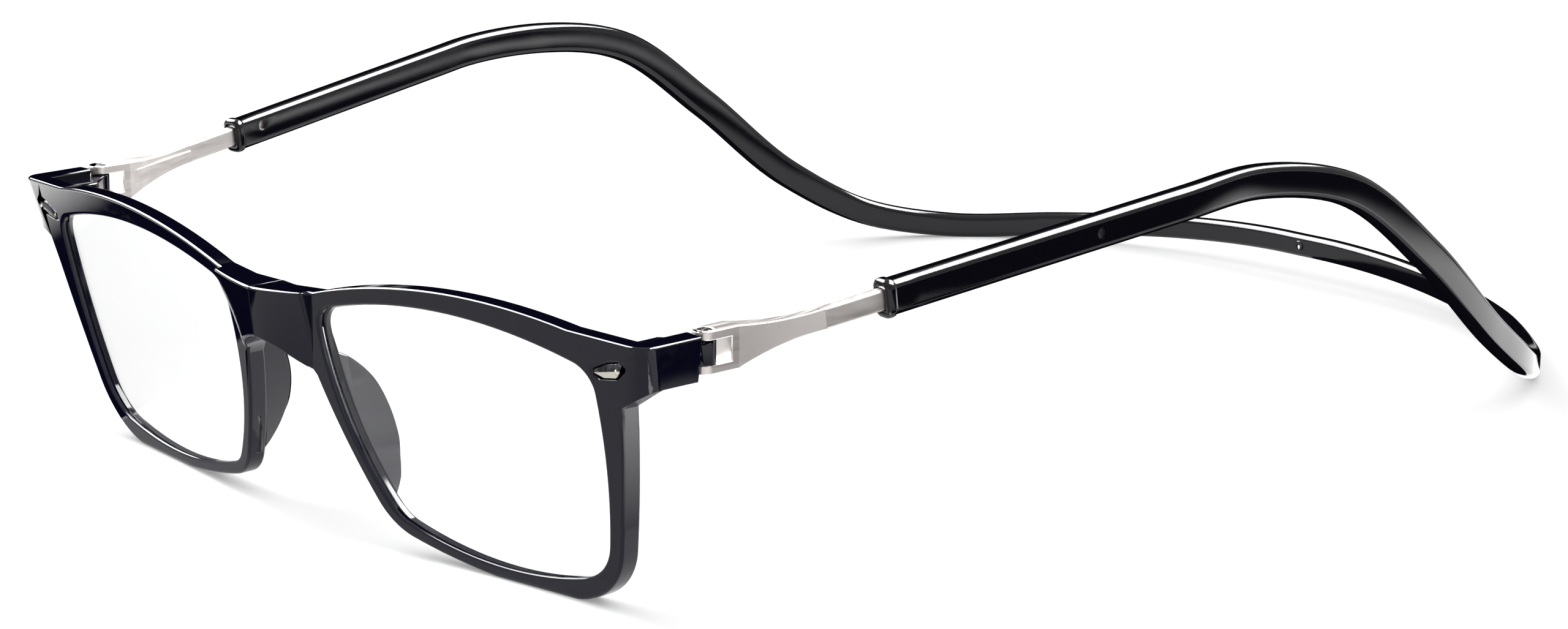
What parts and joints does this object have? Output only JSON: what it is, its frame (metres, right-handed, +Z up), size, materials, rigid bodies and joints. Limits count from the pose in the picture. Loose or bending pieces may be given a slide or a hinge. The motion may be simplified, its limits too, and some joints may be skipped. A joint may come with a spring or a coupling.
{
  "type": "magnetic bridge reading glasses",
  "caption": "Reading glasses whose front parts at a magnetic bridge, on temple bars that slide in the sleeves of a one-piece neck band.",
  "frame": {"origin": "on the floor under the middle of the bounding box, as the glasses stand on their rims and the rear corners of the band", "axes": "+Z up, the front faces -Y, +X towards the wearer's left, symmetric about X = 0"},
  "size_m": [0.1652, 0.2347, 0.0493],
  "materials": {
    "frame_black": "polished black moulding",
    "band_black": "glossy black moulding, slightly softer than the front",
    "lens_clear": "clear polished lens",
    "bar_nickel": "satin nickel",
    "plaque_metal": "polished facets",
    "screw_steel": "polished steel",
    "magnet_plating": "nickel plating"
  },
  "bodies": {
    "band": {"neck_band": "band_black"},
    "left_neck": {"left_band_corner": "band_black"},
    "left_arm": {"left_temple_band": "band_black", "left_slide_pin": "screw_steel"},
    "left_bar": {"left_temple_bar": "bar_nickel", "left_hinge_screw": "screw_steel"},
    "left_front": {"left_front_half": "frame_black", "left_lens": "lens_clear", "left_plaque": "plaque_metal", "left_bridge_magnet": "magnet_plating"},
    "right_neck": {"right_band_corner": "band_black"},
    "right_arm": {"right_temple_band": "band_black", "right_slide_pin": "screw_steel"},
    "right_bar": {"right_temple_bar": "bar_nickel", "right_hinge_screw": "screw_steel"},
    "right_front": {"right_front_half": "frame_black", "right_lens": "lens_clear", "right_plaque": "plaque_metal", "right_bridge_magnet": "magnet_plating"}
  },
  "joints": [
    {"name": "left_open", "type": "hinge", "parent": "band", "child": "left_neck", "pos_m": [0.03, 0.11502, 0.00478], "axis": [0, 0, 1], "range_deg": [0, 14], "stiffness_Nm_per_rad": 1},
    {"name": "left_fold_flex", "type": "hinge", "parent": "left_neck", "child": "left_arm", "pos_m": [0.07977, 0.06867, 0.01039], "axis": [0, 0, 1], "range_deg": [0, 11.1]},
    {"name": "left_slide", "type": "slide", "parent": "left_arm", "child": "left_bar", "axis": [0.1329, 0.9841, 0.1181], "range_m": [0, 0.009]},
    {"name": "left_fold", "type": "hinge", "parent": "left_bar", "child": "left_front", "pos_m": [0.06887, -0.09554, 0.03675], "axis": [0, 0, -1], "range_deg": [0, 88]},
    {"name": "right_open", "type": "hinge", "parent": "band", "child": "right_neck", "pos_m": [-0.03, 0.11502, 0.00478], "axis": [0, 0, -1], "range_deg": [0, 14], "stiffness_Nm_per_rad": 1},
    {"name": "right_fold_flex", "type": "hinge", "parent": "right_neck", "child": "right_arm", "pos_m": [-0.07977, 0.06867, 0.01039], "axis": [0, 0, -1], "range_deg": [0, 11.1]},
    {"name": "right_slide", "type": "slide", "parent": "right_arm", "child": "right_bar", "axis": [-0.1329, 0.9841, 0.1181], "range_m": [0, 0.009]},
    {"name": "right_fold", "type": "hinge", "parent": "right_bar", "child": "right_front", "pos_m": [-0.06887, -0.09554, 0.03675], "axis": [0, 0, 1], "range_deg": [0, 88]}
  ],
  "couplings": [
    {"joint": "left_fold_flex", "follows": "left_fold", "ratio": 0.125},
    {"joint": "right_fold_flex", "follows": "right_fold", "ratio": 0.125}
  ]
}
